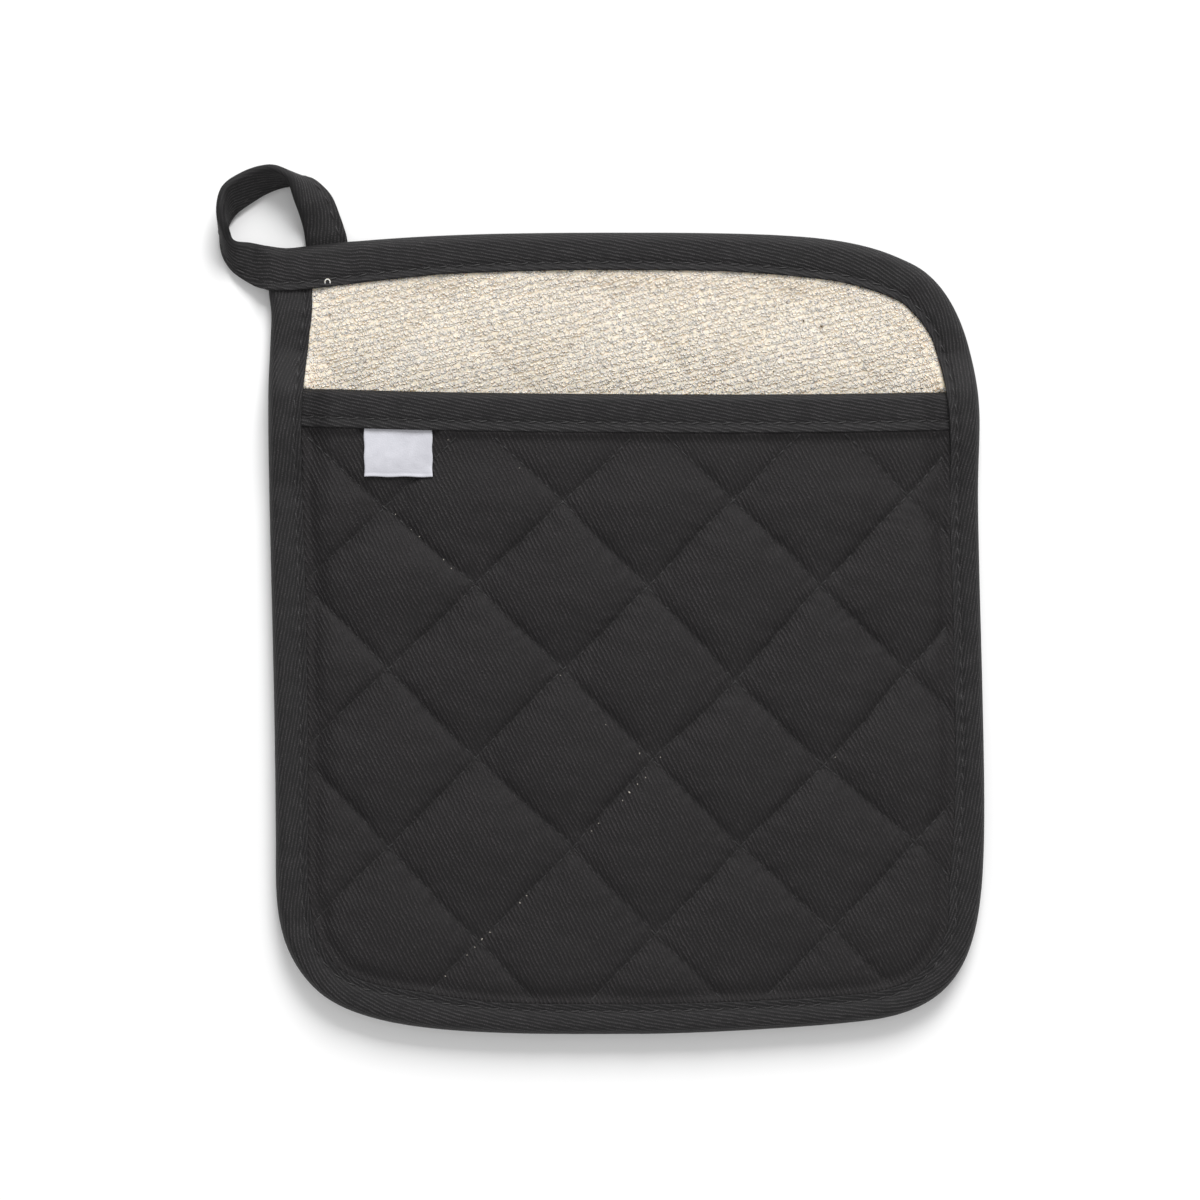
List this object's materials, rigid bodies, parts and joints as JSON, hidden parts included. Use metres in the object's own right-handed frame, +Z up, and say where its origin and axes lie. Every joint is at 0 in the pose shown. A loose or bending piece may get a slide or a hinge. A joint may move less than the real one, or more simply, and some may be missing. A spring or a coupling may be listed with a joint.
{
  "type": "pot holder",
  "caption": "Quilted pocket pot holder with a terry face, an open hand pocket over its lower part, bias-bound edges and a hanging loop at one corner.",
  "frame": {"origin": "middle of the underside of the whole part's box, on the surface it lies on", "axes": "+X to the wearer's right, +Y up the pot holder towards its hanging loop, +Z up through the pocket, away from the surface"},
  "size_m": [0.2192, 0.2472, 0.0169],
  "materials": {
    "twill": "matte",
    "binding": "matte",
    "terry": "matte",
    "label": "matte"
  },
  "bodies": {
    "root": {"back_panel": "twill", "terry_lining": "terry", "front_pocket": "twill", "pocket_binding": "binding", "edge_binding": "binding", "hanging_loop": "binding", "label": "label"}
  },
  "joints": []
}
